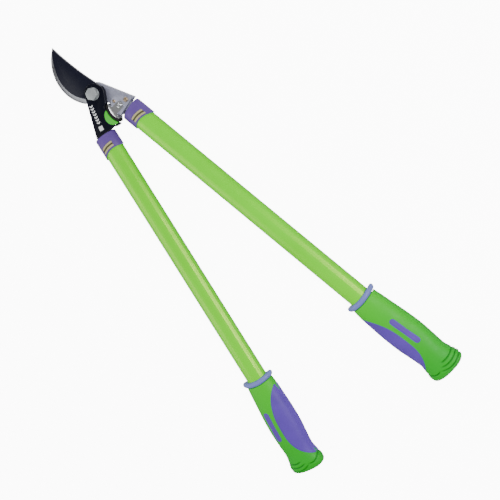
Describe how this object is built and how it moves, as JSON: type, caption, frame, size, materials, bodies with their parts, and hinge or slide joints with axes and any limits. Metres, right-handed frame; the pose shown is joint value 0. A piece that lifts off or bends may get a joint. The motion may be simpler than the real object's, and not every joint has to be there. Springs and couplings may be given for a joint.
{
  "type": "bypass lopper",
  "caption": "Long-handled bypass lopper: a curved blade sweeps past a steel hook on a bolted pivot, with tube handles, ferrules, collars and padded grips.",
  "frame": {"origin": "on the pivot bolt's axis, at the bolt's flat lower end, which is flush with its nut and level with the undersides of the grip pads", "axes": "+Z along the pivot bolt from its nut to its head, which is up when the tool lies on its back; +Y from the pivot towards the blade's tip, away from the grips; +X towards the handle that carries the hook"},
  "size_m": [0.311, 0.7005, 0.0302],
  "materials": {
    "steel": "burnished grey steel",
    "chrome": "bright plated",
    "zinc": "bright zinc plate",
    "dark_steel": "dark oiled spring steel",
    "bronze": "dull bronze",
    "blade": "satin non-stick coating, ground bevel",
    "black": "satin black paint",
    "rubber": "matt black rubber",
    "green_rubber": "green elastomer",
    "purple": "satin moulded",
    "lilac": "satin moulded",
    "soft_purple": "soft-touch elastomer",
    "green_paint": "glossy powder paint",
    "green_grip": "soft-touch elastomer",
    "cream": "matt moulded",
    "black_plastic": "matt moulded"
  },
  "bodies": {
    "hook_side": {"hook_arm": "steel", "stop_pad": "rubber", "stop_shoe": "chrome", "stop_screw": "chrome", "arm_rivet": "bronze", "small_rivet": "bronze", "pivot_bolt": "zinc", "spring_washer": "zinc", "friction_washer": "bronze", "pivot_washer": "zinc", "pivot_nut": "zinc", "right_ferrule": "purple", "right_tube_bush": "cream", "right_tang_pin": "dark_steel", "right_tube": "green_paint", "right_tube_plug": "black_plastic", "right_collar": "lilac", "right_grip": "green_grip", "right_grip_pad": "soft_purple", "right_grip_bar_top": "soft_purple", "right_grip_bar_bottom": "soft_purple"},
    "blade_side": {"cutting_blade": "blade", "blade_arm": "black", "blade_screw_1": "dark_steel", "blade_screw_2": "dark_steel", "bumper": "green_rubber", "pivot_bush": "bronze", "left_ferrule": "purple", "left_tube_bush": "cream", "left_tang_pin": "dark_steel", "left_tube": "green_paint", "left_tube_plug": "black_plastic", "left_collar": "lilac", "left_grip": "green_grip", "left_grip_pad": "soft_purple", "left_grip_bar_top": "soft_purple", "left_grip_bar_bottom": "soft_purple"}
  },
  "joints": [
    {"name": "jaw_pivot", "type": "hinge", "parent": "hook_side", "child": "blade_side", "pos_m": [0, 0, 0.0145], "axis": [0, 0, -1], "range_deg": [0, 70]}
  ]
}
